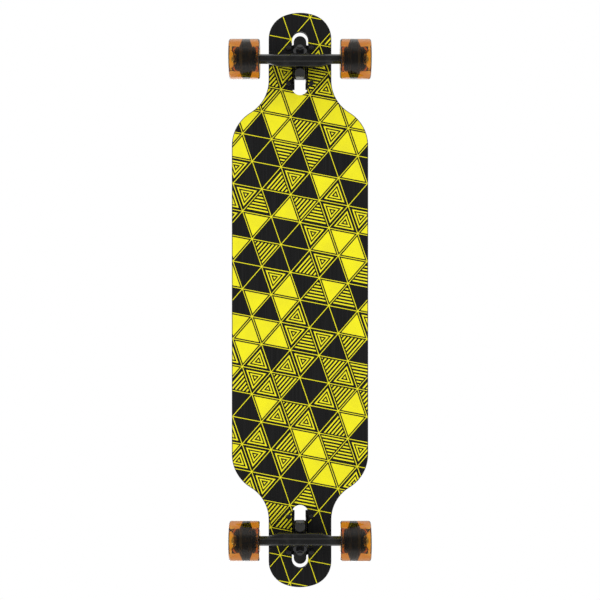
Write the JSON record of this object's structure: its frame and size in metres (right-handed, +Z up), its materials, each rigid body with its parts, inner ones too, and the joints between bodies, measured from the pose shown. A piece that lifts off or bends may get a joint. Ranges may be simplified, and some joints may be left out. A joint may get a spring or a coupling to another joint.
{
  "type": "longboard skateboard",
  "caption": "Drop-through longboard skateboard: flat deck with narrowed ends and a grit-covered top, sprung trucks that steer as the board leans, and soft clear wheels on ball bearings.",
  "frame": {"origin": "on the floor under the middle of the deck", "axes": "+X along the deck towards the nose, +Y to the left along the axles, +Z up"},
  "size_m": [1.041, 0.25, 0.104],
  "materials": {
    "deck_maple": "laminated maple, black and yellow print under clear lacquer below, black edges",
    "grip_grit": "coarse black grit paper",
    "truck_casting": "die-cast, satin black paint",
    "dark_steel": "blackened steel",
    "bright_steel": "ground and zinc plated",
    "bushing_rubber": "moulded, matt",
    "amber_urethane": "clear amber cast urethane",
    "core_plastic": "moulded black nylon"
  },
  "bodies": {
    "board": {"deck": "deck_maple", "grip_tape": "grip_grit", "front_baseplate": "truck_casting", "front_pivot_cup": "bushing_rubber", "front_kingpin": "dark_steel", "front_kingpin_nut": "dark_steel", "front_kingpin_washers": "dark_steel", "front_board_bushing": "bushing_rubber", "front_road_bushing": "bushing_rubber", "front_deck_bolts": "dark_steel", "front_deck_nuts": "dark_steel", "rear_baseplate": "truck_casting", "rear_pivot_cup": "bushing_rubber", "rear_kingpin": "dark_steel", "rear_kingpin_nut": "dark_steel", "rear_kingpin_washers": "dark_steel", "rear_board_bushing": "bushing_rubber", "rear_road_bushing": "bushing_rubber", "rear_deck_bolts": "dark_steel", "rear_deck_nuts": "dark_steel"},
    "front_truck": {"front_hanger": "truck_casting", "front_axle": "bright_steel", "front_axle_nuts": "bright_steel", "front_speed_washers": "bright_steel", "front_left_bearing_inner_rings": "bright_steel", "front_left_bearing_spacer": "bright_steel", "front_right_bearing_inner_rings": "bright_steel", "front_right_bearing_spacer": "bright_steel"},
    "rear_truck": {"rear_hanger": "truck_casting", "rear_axle": "bright_steel", "rear_axle_nuts": "bright_steel", "rear_speed_washers": "bright_steel", "rear_left_bearing_inner_rings": "bright_steel", "rear_left_bearing_spacer": "bright_steel", "rear_right_bearing_inner_rings": "bright_steel", "rear_right_bearing_spacer": "bright_steel"},
    "front_left_wheel": {"front_left_tyre": "amber_urethane", "front_left_core": "core_plastic", "front_left_bearing_outer_rings": "bright_steel", "front_left_bearing_balls": "bright_steel"},
    "front_right_wheel": {"front_right_tyre": "amber_urethane", "front_right_core": "core_plastic", "front_right_bearing_outer_rings": "bright_steel", "front_right_bearing_balls": "bright_steel"},
    "rear_left_wheel": {"rear_left_tyre": "amber_urethane", "rear_left_core": "core_plastic", "rear_left_bearing_outer_rings": "bright_steel", "rear_left_bearing_balls": "bright_steel"},
    "rear_right_wheel": {"rear_right_tyre": "amber_urethane", "rear_right_core": "core_plastic", "rear_right_bearing_outer_rings": "bright_steel", "rear_right_bearing_balls": "bright_steel"}
  },
  "joints": [
    {"name": "front_steer", "type": "hinge", "parent": "board", "child": "front_truck", "pos_m": [0.435, 0, 0.07], "axis": [0.7071, 0, 0.7071], "range_deg": [-20, 20], "stiffness_Nm_per_rad": 80, "deforming": ["front_board_bushing", "front_road_bushing"]},
    {"name": "rear_steer", "type": "hinge", "parent": "board", "child": "rear_truck", "pos_m": [-0.435, 0, 0.07], "axis": [-0.7071, 0, 0.7071], "range_deg": [-20, 20], "stiffness_Nm_per_rad": 80, "deforming": ["rear_board_bushing", "rear_road_bushing"]},
    {"name": "front_left_wheel_spin", "type": "hinge", "parent": "front_truck", "child": "front_left_wheel", "pos_m": [0.426, 0.0955, 0.035], "axis": [0, 1, 0], "continuous": true},
    {"name": "front_right_wheel_spin", "type": "hinge", "parent": "front_truck", "child": "front_right_wheel", "pos_m": [0.426, -0.0955, 0.035], "axis": [0, 1, 0], "continuous": true},
    {"name": "rear_left_wheel_spin", "type": "hinge", "parent": "rear_truck", "child": "rear_left_wheel", "pos_m": [-0.426, 0.0955, 0.035], "axis": [0, 1, 0], "continuous": true},
    {"name": "rear_right_wheel_spin", "type": "hinge", "parent": "rear_truck", "child": "rear_right_wheel", "pos_m": [-0.426, -0.0955, 0.035], "axis": [0, 1, 0], "continuous": true}
  ]
}
